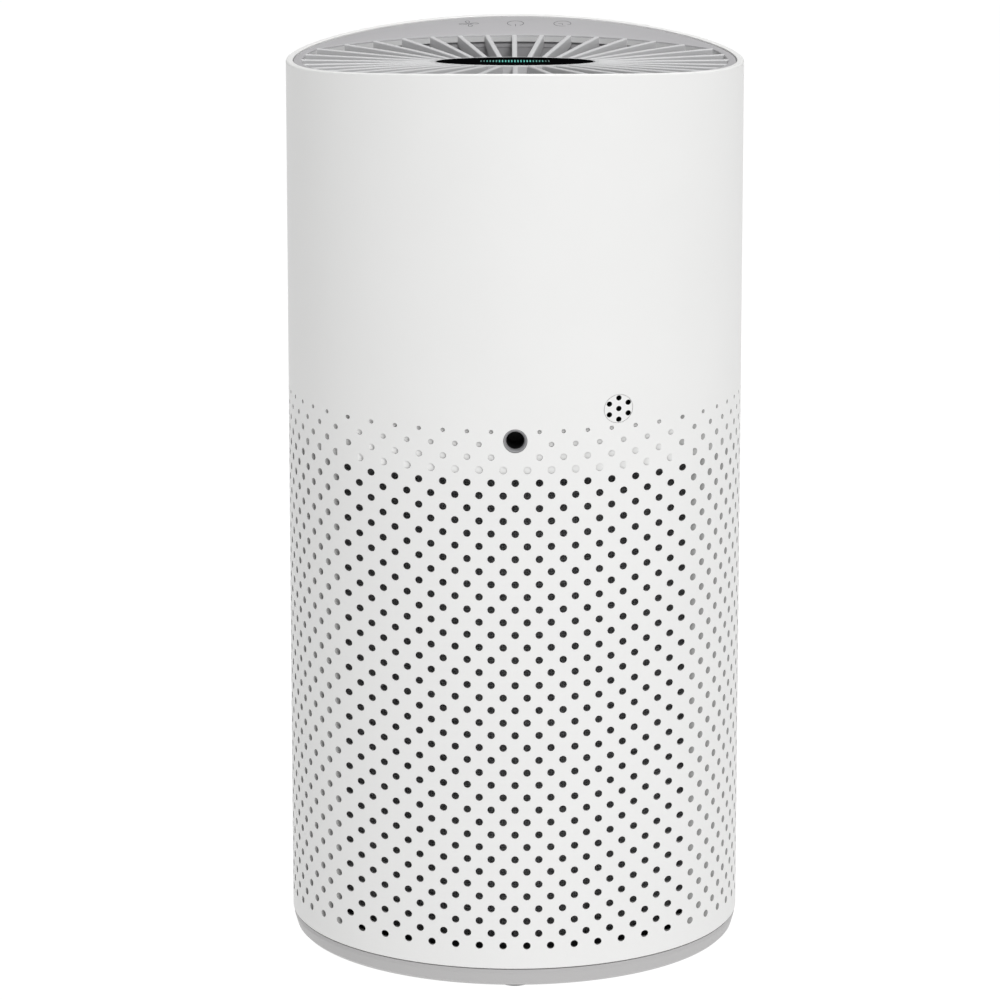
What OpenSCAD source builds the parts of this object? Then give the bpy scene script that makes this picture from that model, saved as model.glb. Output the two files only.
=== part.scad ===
// Small round air purifier for a desk or bedside table.
// Room air enters through the perforated shell, passes the ring filter, is
// drawn up by the fan and leaves through the finned outlet in the top.
// Origin: centre of the base, on the surface it stands on. +Z is up, +Y is the
// user side with the touch symbols, -Y is the rear with the power socket.
// The shell's fine air holes are left to the visual model: the wall is plain.

/* [Overall] */
// Outer diameter of the shell
body_d = 161.4; // [134:0.1:194]
// Height of the rim at its two sides, where it is lowest
body_h = 319; // [265:0.5:383]
// Thickness of the outer shell
wall = 2.5; // [2:0.1:3.2]

/* [Rim and control ring] */
// Radius of the long dip that is cut across the rim
dip_r = 580; // [450:5:900]
// Distance of the dip's lowest line from the centre, towards the user
dip_y = 8; // [0:0.5:12]
// How far the shell's rim stands above the control ring
rim_proud = 0.4; // [0.2:0.1:1]
// Thickness of the control ring
ring_t = 2.4; // [1.8:0.1:3]
// Width of the control ring at the rear
ring_rear_w = 3.2; // [2.9:0.1:5]
// Width of the control ring at the user side
ring_user_w = 22.2; // [18:0.2:26]
// Distance from the body's centre to the centre of the wide ring's inner arc
arc_offset = 40; // [30:1:50]

/* [Display and outlet] */
// Diameter of the glossy display
display_d = 56; // [46:0.5:62]
// Thickness of the display window
display_t = 2; // [1.5:0.1:2.5]
// Tilt of the display towards the user, in degrees
display_tilt = 5.6; // [0:0.2:7]
// How far the middle of the display lies below the rim's sides
display_drop = 1; // [0:0.5:3]
// Thickness of the wall round the display
hub_wall = 1.9; // [1.4:0.1:2.4]
// Number of outlet fins
fin_count = 36; // [24:1:44]
// Thickness of an outlet fin
fin_t = 1.9; // [1.4:0.1:2.3]
// Depth of an outlet fin
fin_h = 8; // [6:0.5:10]
// Number of light bars on the display
led_count = 23; // [15:2:27]
// Distance between light bars
led_pitch = 1.07; // [0.9:0.01:1.2]

/* [Base] */
// Gap between the base and the shell
seam = 0.4; // [0.2:0.1:0.8]
// Height of the shell's lower edge
shell_z = 9; // [8:0.2:12]
// Thickness of the base plate
base_t = 2.6; // [2.2:0.1:3.5]
// Height of the rubber feet below the base
foot_h = 2.4; // [1.5:0.1:4]
// Diameter of a rubber foot
foot_d = 13.4; // [10:0.2:16]
// Number of rubber feet
foot_count = 3; // [3:1:4]
// Distance from the shell's inside to a foot's centre
foot_inset = 12.2; // [10:0.2:20]
// Height that the base reaches up inside the shell
spigot_h = 6; // [4:0.2:7]

/* [Filter] */
// Air gap between the shell and the filter
filter_gap = 11.2; // [9:0.2:15]
// Thickness of the filter's end caps
cap_t = 3; // [2:0.2:4]
// Radius of the filter's open core
core_r = 38; // [32:0.5:42]
// Thickness of the carbon layer
carbon_t = 6; // [4:0.5:7]
// Thickness of the outer mesh sleeve
sleeve_t = 1.2; // [0.8:0.1:2]
// Number of pleats
pleat_count = 60; // [40:2:80]
// Thickness of the pleated sheet
pleat_t = 1; // [0.8:0.1:1.4]
// Thickness of the foam seal on top of the filter
seal_t = 3.2; // [2:0.2:5]

/* [Fan] */
// Height from the underside of the fan deck to the rim's sides
fan_bay_h = 128.5; // [128:0.5:150]
// Thickness of the fan deck
deck_t = 2.5; // [2:0.1:3.5]
// Space between the shell and the fan housing
side_space = 13.7; // [13.4:0.1:16]
// Wall of the fan housing, diffuser and outlet duct
duct_wall = 2; // [1.6:0.1:2.4]
// Radius of the fan's round inlet
inlet_r = 38; // [32:0.5:40]
// Gap between the impeller and the fan housing
tip_gap = 4.5; // [3:0.5:6]
// Number of impeller blades
blade_count = 9; // [7:1:11]
// Thickness of an impeller blade
blade_t = 1.6; // [1.2:0.1:2]
// Number of diffuser vanes
vane_count = 11; // [9:1:13]
// Diameter of the motor shaft
shaft_d = 3; // [2.4:0.1:4]
// Outer diameter of a shaft bearing
bearing_d = 10; // [9:0.1:11]
// Height of a shaft bearing
bearing_h = 4; // [3:0.2:4.4]
// Outer diameter of the motor's rotor can
can_d = 40.4; // [36:0.2:42]

/* [Power socket and sensor] */
// Bore of the power socket, for a 5.5 mm barrel plug
jack_d = 6; // [5.6:0.1:6.6]
// Outer diameter of the ring round the socket
bezel_d = 8.1; // [7.7:0.1:9]
// Height of the socket above the fan deck's underside
jack_up = 8.3; // [8:0.1:12]
// Depth of the socket's bore
jack_depth = 10; // [8:0.5:10.4]
// Outer diameter of the sensor insert
sensor_d = 9.8; // [8:0.1:12]
// Sideways distance of the sensor insert from the socket
sensor_x = 35.5; // [25:0.1:40]
// Height of the sensor insert above the fan deck's underside
sensor_up = 18; // [14:0.5:30]
// Diameter of each hole in the sensor insert
sensor_hole_d = 1.8; // [1.2:0.1:2]

/* [Clearances] */
// Gap between fixed covers
fit = 0.25; // [0.15:0.05:0.3]
// Gap round pieces that slide out
slide_fit = 0.3; // [0.2:0.05:0.6]
// Radial gap between the shaft and its bearings
shaft_fit = 0.03; // [0.02:0.01:0.08]

/* [Hidden] */
$fn = 96;
small = 0.01;

// Shell and top
body_r = body_d / 2;
shell_ir = body_r - wall;
ring_r = shell_ir - fit;
tall = body_h + 20;
slot_user_r = shell_ir - ring_user_w;
slot_rear_r = shell_ir - ring_rear_w;
arc_r = slot_user_r + arc_offset;
display_r = display_d / 2;
hub_bore = display_r + fit;
hub_r = hub_bore + hub_wall;
display_z = body_h - display_drop;
ledge_t = 2;
steps = 72;
// Gap between pieces that are really moulded in one and are kept as separate solids here
split_gap = 0.15;

// Heights along the display's tilted axis, counted down from its face
baffle_top = display_t + 0.05;
baffle_h = 3;
board_top = baffle_top + baffle_h + 0.1;
board_t = 1.6;
floor_top = board_top + board_t + 2.2;
floor_t = 2;
hub_foot = display_plane(hub_r) - (floor_top + floor_t) / cos(display_tilt) - 0.3;

// Base
base_z = foot_h;
base_top = shell_z - seam;
foot_sink = 1;
foot_pos_r = shell_ir - foot_inset;
spigot_r = shell_ir - slide_fit;
seat_z = base_z + base_t + 6.6;

// Fan deck and filter
deck_z = body_h - fan_bay_h;
deck_top = deck_z + deck_t;
filter_r = shell_ir - filter_gap;
tab_t = 0.8;
cap_z = seat_z + slide_fit;
media_z = cap_z + cap_t;
seal_top = deck_z - slide_fit;
cap_top = seal_top - seal_t;
media_top = cap_top - cap_t;
sleeve_r = filter_r - 0.8;
pleat_or = sleeve_r - sleeve_t - 0.4;
carbon_r = core_r + 0.5;
pleat_ir = carbon_r + carbon_t + 0.6;

// Fan housing stack
house_or = shell_ir - side_space;
house_ir = house_or - duct_wall;
liner_ir = house_ir - 0.2 - duct_wall * 0.9;
lug_r = 4.2;
lug_pos_r = house_or + 2.6;
lug_t = 2.5;
house_top = deck_top + 50.5;
diff_top = house_top + lug_t;
duct_z = diff_top;
cup_top = deck_top + 69.5;
lip_z = deck_z + 9;
lip_t = 1.6;
guard_t = 1.6;

// Impeller and motor
wheel_r = house_ir - tip_gap;
collar_r = inlet_r + lip_t + 1.4;
wheel_z = deck_top + 4.5;
plate_z = deck_top + 37;
plate_t = 2;
// A steep shroud needs more height between it and the blades for the same gap
blade_lift = split_gap * max(1, (plate_z - 14.4 - wheel_z - 5) / (wheel_r - collar_r - 1));
can_z = plate_z + plate_t;
can_r = can_d / 2;
can_t = 1.2;
can_h = 20;
magnet_t = 1.4;
shaft_r = shaft_d / 2;
bearing_r = bearing_d / 2;
tube_r = bearing_r + 1.6;
lower_z = can_z + 4;
stator_r = can_r - can_t - magnet_t - 0.6;
stator_h = 14;
base_plate_z = can_z + can_h + 4;
base_plate_t = 2.5;
base_plate_r = can_r + 0.4;
upper_z = base_plate_z - bearing_h - 1;
bush_t = 2;
bush_pos_r = base_plate_r - 4.8;
roof_z = base_plate_z + base_plate_t + bush_t;
roof_t = 2;
cup_r = base_plate_r + 1.6 + duct_wall;

// Screws
screw_r = 1.2;
screw_hole_r = 1.35;
pilot_r = 1.22;
head_r = 2.5;
head_h = 1.6;
// The foam seal stays inside the deck's screw heads
seal_r = min(inlet_r + 18, lug_pos_r - head_r - 0.5);

// Electronics
jack_z = deck_z + jack_up;
jack_front = sqrt(pow(shell_ir, 2) - pow(bezel_d / 2 + 0.5, 2)) - fit;
jack_back = house_or + 0.5;
jack_half = bezel_d / 2 + 0.45;
sensor_z = deck_z + sensor_up;
sensor_turn = asin(sensor_x / body_r);
pcb_t = 1.6;
pcb_y = shell_ir - 8.7;
pcb_half_w = 28;
pcb_z = deck_top + 7;
pcb_h = 38;
post_x = 23;
post_in = 5;
touch_r = shell_ir - 9;
touch_half_w = 5;
symbol_r = shell_ir - 11;
touch_z = body_h - 6;
touch_pcb_t = 1.2;
touch_spread = 15;

// Height of the rim's top edge above the line y
function rim_z(y) = body_h + pow(y - dip_y, 2) / (2 * dip_r);
// Height of the display's tilted plane above the line y
function display_plane(y) = display_z - tan(display_tilt) * y;
// Height of the outlet's top surface: straight from the hub out to the rim
function top_z(r, a) =
    let (inner = display_plane(hub_r * sin(a)), outer = rim_z(ring_r * sin(a)) - rim_proud)
    inner + (r - hub_r) / (ring_r - hub_r) * (outer - inner);
// Radius where the outlet's slots end: the user side's flat arc, or the rear circle
function slot_r(a) =
    min(slot_rear_r, -arc_offset * sin(a) + sqrt(pow(arc_r, 2) - pow(arc_offset * cos(a), 2)));
function smooth(t) = t * t * (3 - 2 * t);
// Height of the sloped underside of the impeller's plate at radius r
function plate_under(r) = plate_z - 2 * (wheel_r - r) / (wheel_r - 9);

// Closed ring through the sections of `rows`; each row lists its points at one angle
module loop_solid(rows) {
    n = len(rows);
    m = len(rows[0]);
    polyhedron(points = [for (row = rows) each row],
               faces = [for (i = [0:n - 1]) for (j = [0:m - 1])
                            let (k = (i + 1) % n, l = (j + 1) % m)
                                each [[i * m + j, k * m + j, k * m + l], [i * m + j, k * m + l, i * m + l]]]);
}

function at(r, a, z) = [r * cos(a), r * sin(a), z];

module ring(outer, inner, z, h) {
    translate([0, 0, z]) difference() {
        cylinder(r = outer, h = h);
        translate([0, 0, -1]) cylinder(r = inner, h = h + 2);
    }
}

module around(count, radius, start = 0) {
    for (i = [0:count - 1]) rotate([0, 0, start + i * 360 / count]) translate([radius, 0, 0]) children();
}

// Everything inside is drawn along the display's own tilted axis, with its face at zero
module on_display() {
    translate([0, 0, display_z]) rotate([-display_tilt, 0, 0]) children();
}

// Screw with its head's underside at zero and its shank pointing down
module screw(length) {
    translate([0, 0, -length]) cylinder(r = screw_r, h = length + small, $fn = 32);
    difference() {
        cylinder(r = head_r, h = head_h, $fn = 32);
        for (turn = [0, 90]) rotate([0, 0, turn])
            translate([-1.4, -0.3, head_h - 0.7]) cube([2.8, 0.6, 1]);
    }
}

// Cutter for all that lies above the dipped rim
module above_rim() {
    translate([0, dip_y, body_h + dip_r]) rotate([0, 90, 0])
        cylinder(r = dip_r, h = body_d * 2, center = true, $fn = 720);
}

module outer_shell() {
    color("white") difference() {
        ring(body_r, shell_ir, shell_z, tall - shell_z);
        above_rim();
        translate([0, -shell_ir + 4, jack_z]) rotate([90, 0, 0])
            cylinder(r = bezel_d / 2 + fit / 2, h = wall + 8, $fn = 48);
        translate([sensor_x, -shell_ir / 2, sensor_z]) rotate([90, 0, 0])
            cylinder(r = sensor_d / 2 + fit / 2, h = body_r, $fn = 48);
    }
}

module base_cover() {
    edge_r = body_r - 1.5;
    color("silver") difference() {
        union() {
            rotate_extrude($fn = 180) polygon([
                [0, base_z], [edge_r - 1, base_z], [edge_r, base_z + 1], [body_r - 0.4, base_top - 1.5],
                [body_r - 0.4, base_top], [spigot_r, base_top], [spigot_r, shell_z + spigot_h],
                [spigot_r - 2, shell_z + spigot_h], [spigot_r - 2, base_z + base_t], [0, base_z + base_t]]);
            ring(filter_r - 14, filter_r - 16, base_z + base_t - small, seat_z - base_z - base_t + small);
            around(6, filter_r - 14.5) translate([0, -0.9, base_z + base_t - small])
                cube([spigot_r - filter_r + 13, 1.8, 3]);
        }
        around(foot_count, foot_pos_r, -90) translate([0, 0, base_z - 1])
            cylinder(r = foot_d / 2 + 0.15, h = foot_sink + 1);
    }
}

module rubber_feet() {
    color("dimgray") around(foot_count, foot_pos_r, -90) rotate_extrude($fn = 64)
        polygon([[0, 0], [foot_d / 2 - 0.6, 0], [foot_d / 2, 0.6], [foot_d / 2, base_z + foot_sink],
                 [0, base_z + foot_sink]]);
}

module control_ring() {
    post_x1 = touch_r * sin(touch_spread * 1.8);
    post_y1 = touch_r * cos(touch_spread * 1.8);
    color("darkgray") {
        loop_solid([for (i = [0:steps - 1]) let (a = i * 360 / steps, s = slot_r(a))
            [at(s, a, top_z(s, a)), at(ring_r, a, top_z(ring_r, a)),
             at(ring_r, a, top_z(ring_r, a) - ring_t), at(s, a, top_z(s, a) - ring_t)]]);
        for (side = [-1, 1]) translate([side * post_x1, post_y1, touch_z + touch_pcb_t]) difference() {
            cylinder(r = 2.6, h = top_z(touch_r, 90 - touch_spread * 1.8) - ring_t * 0.5 - touch_z - touch_pcb_t,
                     $fn = 32);
            translate([0, 0, -1]) cylinder(r = pilot_r, h = 3.6, $fn = 32);
        }
    }
}

// One outlet fin at angle a, from the hub to the ledge under the control ring
module fin(a) {
    turn = asin(fin_t / 2 / slot_r(a));
    end = min(slot_r(a - turn), slot_r(a + turn)) - split_gap;
    inner = hub_r + split_gap;
    inner_z = top_z(hub_r, a);
    outer_z = top_z(end, a);
    translate([0, fin_t / 2, 0]) rotate([90, 0, 0]) linear_extrude(fin_t) polygon([
        [inner, inner_z - fin_h], [inner, inner_z], [end, outer_z], [end, outer_z - ring_t - ledge_t],
        [end - 6, outer_z - fin_h]]);
}

module outlet_fins() {
    color("lightgray") for (i = [0:fin_count - 1]) let (a = 90 + i * 360 / fin_count) rotate([0, 0, a]) fin(a);
}

module outlet_hub() {
    color("silver") difference() {
        union() {
            ring(hub_r, hub_bore, hub_foot, tall - hub_foot);
            on_display() translate([0, 0, -floor_top - floor_t]) difference() {
                cylinder(r = hub_bore + 0.5, h = floor_t);
                translate([0, 0, -1]) cylinder(r = 5, h = floor_t + 2, $fn = 48);
                around(3, display_r - 6) translate([0, 0, -1]) cylinder(r = screw_hole_r, h = 9, $fn = 32);
            }
        }
        on_display() translate([-body_r, -body_r, 0]) cube([body_d, body_d, 40]);
    }
}

module outlet_ledge() {
    color("silver") loop_solid([for (i = [0:steps - 1])
        let (a = i * 360 / steps, s = slot_r(a), z = top_z(s, a) - ring_t - 0.1, o = min(s + 2.2, ring_r))
        [at(s, a, z), at(o, a, z), at(o, a, z - ledge_t), at(s, a, z - ledge_t)]]);
}

module display_lens() {
    color("black") on_display() rotate_extrude($fn = 180) polygon([
        [0, 0], [display_r * 0.96 - 0.4, 0], [display_r * 0.99, -0.4], [display_r * 0.99, -display_t],
        [0, -display_t]]);
}

module light_baffle() {
    window = led_count * led_pitch + 2;
    color("white") on_display() translate([0, 0, -baffle_top - baffle_h]) difference() {
        cylinder(r = display_r * 0.94, h = baffle_h);
        translate([-window / 2, -10, -1]) cube([window, 20, baffle_h + 2]);
    }
}

module status_leds() {
    color("turquoise") on_display() for (i = [0:led_count - 1])
        translate([(i - (led_count - 1) / 2) * led_pitch - 0.3, -0.8, -board_top]) cube([0.6, 1.6, 0.8]);
}

module display_board() {
    color("darkgreen") on_display() translate([0, 0, -board_top - board_t]) difference() {
        cylinder(r = display_r * 0.94, h = board_t);
        around(3, display_r - 6) translate([0, 0, -1]) cylinder(r = pilot_r, h = board_t + 2, $fn = 32);
    }
    color("gray") on_display() around(3, display_r - 6) translate([0, 0, -floor_top]) difference() {
        cylinder(r = 2.6, h = floor_top - board_top - board_t, $fn = 32);
        translate([0, 0, -1]) cylinder(r = pilot_r, h = 8, $fn = 32);
    }
}

module jack_bezel() {
    color("gray") translate([0, -body_r, jack_z]) rotate([-90, 0, 0]) rotate_extrude($fn = 64) polygon([
        [jack_d / 2 + 0.15, 0.7], [bezel_d / 2 - 0.35, 0.12], [bezel_d / 2, 0.3], [bezel_d / 2, wall - 0.2],
        [jack_d / 2 + 0.15, wall - 0.2]]);
}

module dc_jack() {
    color("black") difference() {
        translate([-jack_half, -jack_front, jack_z - jack_half])
            cube([jack_half * 2, jack_front - jack_back, jack_half * 2]);
        translate([0, -jack_front + jack_depth, jack_z]) rotate([90, 0, 0])
            cylinder(r = jack_d / 2, h = jack_depth + 1, $fn = 64);
    }
}

module sensor_insert() {
    color("whitesmoke") difference() {
        intersection() {
            ring(body_r, shell_ir, sensor_z - sensor_d, sensor_d * 2);
            translate([sensor_x, -shell_ir / 2, sensor_z]) rotate([90, 0, 0])
                cylinder(r = sensor_d / 2, h = body_r, $fn = 48);
        }
        translate([sensor_x, -shell_ir / 2, sensor_z]) rotate([90, 0, 0]) {
            cylinder(r = sensor_hole_d / 2, h = body_r, $fn = 24);
            around(6, sensor_d * 0.383, 90) cylinder(r = sensor_hole_d / 2, h = body_r, $fn = 24);
        }
    }
}

module sensor_module() {
    reach = shell_ir - 1.8;
    color("black") rotate([0, 0, sensor_turn - 90]) translate([house_or + 0.5, -7, sensor_z - 10])
        cube([reach - house_or - 0.5, 14, 20]);
}

module pleated_media() {
    color("ivory") translate([0, 0, media_z]) linear_extrude(media_top - media_z) difference() {
        polygon([for (i = [0:2 * pleat_count - 1]) let (a = i * 180 / pleat_count)
            (i % 2 == 0 ? pleat_or : pleat_ir + pleat_t * 2) * [cos(a), sin(a)]]);
        polygon([for (i = [0:2 * pleat_count - 1]) let (a = i * 180 / pleat_count)
            (i % 2 == 0 ? pleat_or - pleat_t * 2 : pleat_ir) * [cos(a), sin(a)]]);
    }
}

module mesh_sleeve() {
    color("dimgray") ring(sleeve_r, sleeve_r - sleeve_t, media_z, media_top - media_z);
}

module carbon_core() {
    color("black") ring(carbon_r + carbon_t, carbon_r, media_z, media_top - media_z);
}

module filter_top_cap() {
    color("silver") ring(filter_r, core_r, media_top, cap_t);
}

module filter_bottom_cap() {
    color("silver") translate([0, 0, cap_z]) cylinder(r = filter_r, h = cap_t);
}

module filter_seal() {
    color("dimgray") ring(seal_r, inlet_r + 8, cap_top, seal_t);
}

module pull_tab() {
    color("dimgray") translate([-25, -7, cap_z - tab_t]) cube([50, 14, tab_t]);
}

module fan_deck() {
    color("gray") difference() {
        rotate_extrude($fn = 180) polygon(concat(
            [[ring_r, deck_z], [ring_r, deck_top], [inlet_r + 9, deck_top]],
            [for (a = [270:-15:180]) [inlet_r + 9 + 7.4 * cos(a), lip_z - 0.9 + 5.6 * sin(a)]],
            [[inlet_r + lip_t, lip_z], [inlet_r, lip_z]],
            [for (a = [180:15:270]) [inlet_r + 8 + 8 * cos(a), deck_z + 7 + 7 * sin(a)]]));
        around(4, lug_pos_r, 45) translate([0, 0, deck_z - 1])
            cylinder(r = screw_hole_r, h = deck_t + 2, $fn = 32);
    }
}

// Finger guard under the fan inlet: rings joined by spokes
module inlet_guard() {
    color("gray") {
        for (r = [6:6:inlet_r - 3]) ring(r + 0.8, r - 0.8, deck_z + 0.4, guard_t);
        around(6, 5.6) translate([0, -0.8, deck_z + 0.4]) cube([inlet_r - 5, 1.6, guard_t]);
        ring(inlet_r + 7.6, inlet_r - 0.6, deck_z - 1.2, 1.2 - slide_fit / 2);
        around(6, inlet_r - 0.6) translate([0, -0.8, deck_z - 1.2]) cube([1.6, 1.6, guard_t + 1.6]);
    }
}

// Four ears with holes, shared by the pieces of the fan stack
module lugs(z) {
    around(4, lug_pos_r, 45) translate([0, 0, z]) cylinder(r = lug_r, h = lug_t, $fn = 48);
    around(4, house_or - 1, 45) translate([0, -lug_r, z]) cube([lug_pos_r - house_or + 1, lug_r * 2, lug_t]);
}

module lug_holes(z, radius) {
    around(4, lug_pos_r, 45) translate([0, 0, z - 1]) cylinder(r = radius, h = lug_t + 2, $fn = 32);
}

module fan_housing() {
    color("gray") difference() {
        union() {
            translate([0, 0, deck_top]) cylinder(r = house_or, h = house_top - deck_top);
            lugs(deck_top);
            lugs(house_top - lug_t);
            for (x = [-post_x, post_x], z = [pcb_z + post_in, pcb_z + pcb_h - post_in])
                translate([x, pcb_y, z]) rotate([90, 0, 0]) cylinder(r = 3, h = 14, $fn = 48);
        }
        translate([0, 0, deck_top - 1]) cylinder(r = house_ir, h = house_top);
        lug_holes(deck_top, pilot_r);
        lug_holes(house_top - lug_t, pilot_r);
        for (x = [-post_x, post_x], z = [pcb_z + post_in, pcb_z + pcb_h - post_in])
            translate([x, pcb_y + 1, z]) rotate([90, 0, 0]) cylinder(r = pilot_r, h = 7, $fn = 32);
    }
}

// Curved strip from radius r1 to r2 that turns by `sweep` degrees on its way
module curved_blade(r1, r2, sweep, thick, height) {
    n = 8;
    function mid(t) = let (r = r1 + (r2 - r1) * t, a = sweep * pow(t, 1.2)) [r, a];
    function side(t, s) = let (p = mid(t), da = s * thick / 2 / p[0] * 180 / PI) p[0] * [cos(p[1] + da), sin(p[1] + da)];
    linear_extrude(height) polygon(concat([for (i = [0:n]) side(i / n, 1)], [for (i = [n:-1:0]) side(i / n, -1)]));
}

module diffuser_liner() {
    color("gray") difference() {
        union() {
            ring(house_or, liner_ir, house_top, lug_t);
            lugs(house_top);
            ring(house_ir - 0.2, liner_ir, house_top, cup_top - house_top);
        }
        lug_holes(house_top, screw_hole_r);
    }
}

module diffuser_vanes() {
    color("gray") for (i = [0:vane_count - 1]) rotate([0, 0, i * 360 / vane_count])
        translate([0, 0, diff_top + 1]) curved_blade(cup_r + split_gap, liner_ir - split_gap, -38, 1.8, 15);
}

// Cup that hangs open side down between the vanes and holds the motor
module motor_cup() {
    color("gray") difference() {
        translate([0, 0, can_z + 4]) cylinder(r = cup_r, h = roof_z + roof_t - can_z - 4);
        translate([0, 0, can_z]) cylinder(r = cup_r - duct_wall, h = roof_z - can_z);
        around(3, bush_pos_r) translate([0, 0, roof_z - 1]) cylinder(r = screw_hole_r, h = roof_t + 2, $fn = 32);
        translate([0, 0, roof_z - 1]) cylinder(r = 4, h = roof_t + 2, $fn = 48);
    }
}

module outlet_duct() {
    rows = 6;
    foot_r = house_ir;
    color("gray") {
        difference() {
            union() {
                ring(house_or, house_ir, duct_z, cup_top - duct_z + 1);
                lugs(duct_z);
            }
            lug_holes(duct_z, screw_hole_r);
        }
        loop_solid([for (i = [0:steps - 1])
            let (a = i * 360 / steps, s = slot_r(a), end_z = top_z(s, a) - ring_t - ledge_t - 0.2,
                 start_z = cup_top, wall_t = duct_wall * 0.9)
            concat([for (j = [0:rows]) let (t = j / rows)
                        at(foot_r + 0.1 + smooth(t) * (s + 0.3 - foot_r), a, start_z + t * (end_z - start_z))],
                   [for (j = [rows:-1:0]) let (t = j / rows)
                        at(foot_r + 0.1 + smooth(t) * (s + 0.3 - foot_r) + wall_t, a,
                           start_z + t * (end_z - start_z))])]);
    }
}

module tail_cone() {
    low = roof_z + roof_t + head_h + 0.4;
    high = hub_foot - 0.2;
    color("gray") difference() {
        rotate_extrude($fn = 96) polygon([
            [cup_r - 2.2, roof_z + roof_t], [cup_r, roof_z + roof_t], [hub_r - 0.6, high - 6],
            [hub_r - 0.6, high], [hub_r - 2.8, high], [hub_r - 2.8, high - 6.6],
            [cup_r - 2.2, low]]);
    }
}

module impeller_plate() {
    color("dimgray") difference() {
        rotate_extrude($fn = 144) polygon([
            [0, plate_z - 8], [6, plate_z - 8], [9, plate_under(9)], [wheel_r, plate_z],
            [wheel_r, plate_z + plate_t], [0, plate_z + plate_t]]);
        translate([0, 0, plate_z - 9]) cylinder(r = shaft_r, h = plate_t + 10, $fn = 48);
    }
}

module impeller_blades() {
    color("dimgray") intersection() {
        for (i = [0:blade_count - 1]) rotate([0, 0, i * 360 / blade_count]) translate([0, 0, wheel_z])
            curved_blade(24, wheel_r - 0.2, -46, blade_t, plate_z + 1 - wheel_z);
        rotate_extrude($fn = 144) polygon([
            [20, wheel_z + 9], [collar_r + 0.6, wheel_z + 5 + blade_lift],
            [collar_r + 1, wheel_z + 5 + blade_lift], [wheel_r, plate_z - 14.4 + blade_lift],
            [wheel_r, plate_z - split_gap],
            [20, plate_under(20) - split_gap]]);
    }
}

module impeller_shroud() {
    color("dimgray") rotate_extrude($fn = 144) polygon([
        [collar_r, wheel_z], [collar_r + 1.6, wheel_z], [collar_r + 2.4, wheel_z + 3],
        [wheel_r, plate_z - 16], [wheel_r, plate_z - 14.4], [collar_r + 1, wheel_z + 5]]);
}

module rotor_can() {
    color("gainsboro") difference() {
        translate([0, 0, can_z]) cylinder(r = can_r, h = can_h);
        translate([0, 0, can_z + can_t]) cylinder(r = can_r - can_t, h = can_h);
        translate([0, 0, can_z - 1]) cylinder(r = shaft_r, h = can_h, $fn = 48);
    }
}

module rotor_magnet() {
    color("dimgray") ring(can_r - can_t, can_r - can_t - magnet_t, can_z + 3, can_h - 4);
}

module motor_shaft() {
    color("silver") translate([0, 0, plate_z - 8]) cylinder(r = shaft_r, h = base_plate_z + 2 - plate_z + 8, $fn = 48);
}

module retaining_ring() {
    color("silver") ring(shaft_r + 1.7, shaft_r, upper_z + bearing_h + 0.2, 0.6);
}

module bearing(z) {
    ring(bearing_r, bearing_r - 1.2, z, bearing_h);
    ring(shaft_r + 1.2, shaft_r + shaft_fit, z, bearing_h);
    ring(bearing_r - 1.1, shaft_r + 1.1, z + 0.6, bearing_h - 1.2);
}

module lower_bearing() {
    color("silver") bearing(lower_z);
}

module upper_bearing() {
    color("silver") bearing(upper_z);
}

module motor_stator() {
    color("peru") translate([0, 0, lower_z]) difference() {
        union() {
            cylinder(r = tube_r + 2.2, h = stator_h);
            around(9, 0) translate([tube_r, -1.4, 0]) cube([stator_r - tube_r - 2, 2.8, stator_h]);
            intersection() {
                difference() {
                    cylinder(r = stator_r, h = stator_h);
                    translate([0, 0, -1]) cylinder(r = stator_r - 2.4, h = stator_h + 2);
                }
                around(9, 0) translate([tube_r, -4.6, 0]) cube([stator_r, 9.2, stator_h]);
            }
        }
        translate([0, 0, -1]) cylinder(r = tube_r, h = stator_h + 2);
    }
}

module motor_base() {
    color("gainsboro") difference() {
        union() {
            translate([0, 0, base_plate_z]) cylinder(r = base_plate_r, h = base_plate_t);
            translate([0, 0, lower_z - 0.6]) cylinder(r = tube_r, h = base_plate_z - lower_z + 1);
        }
        translate([0, 0, lower_z - 1]) cylinder(r = bearing_r, h = base_plate_z - lower_z + 1);
        translate([0, 0, base_plate_z - 1]) cylinder(r = shaft_r + 1.9, h = base_plate_t + 2, $fn = 48);
        around(3, bush_pos_r) translate([0, 0, base_plate_z - 1]) cylinder(r = pilot_r, h = base_plate_t + 2, $fn = 32);
    }
}

module isolator_bushes() {
    color("black") around(3, bush_pos_r) ring(4, screw_r + 0.6, base_plate_z + base_plate_t, bush_t);
}

module motor_screws() {
    color("silver") around(3, bush_pos_r) translate([0, 0, roof_z + roof_t]) screw(roof_t + bush_t + base_plate_t);
}

module deck_screws() {
    color("silver") around(4, lug_pos_r, 45) translate([0, 0, deck_z]) mirror([0, 0, 1]) screw(deck_t + lug_t);
}

module flange_screws() {
    color("silver") around(4, lug_pos_r, 45) translate([0, 0, duct_z + lug_t]) screw(lug_t * 3);
}

module main_board() {
    color("darkgreen") difference() {
        translate([-pcb_half_w, pcb_y, pcb_z]) cube([pcb_half_w * 2, pcb_t, pcb_h]);
        for (x = [-post_x, post_x], z = [pcb_z + post_in, pcb_z + pcb_h - post_in])
            translate([x, pcb_y + pcb_t + 1, z]) rotate([90, 0, 0]) cylinder(r = screw_hole_r, h = pcb_t + 2, $fn = 32);
    }
}

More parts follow.
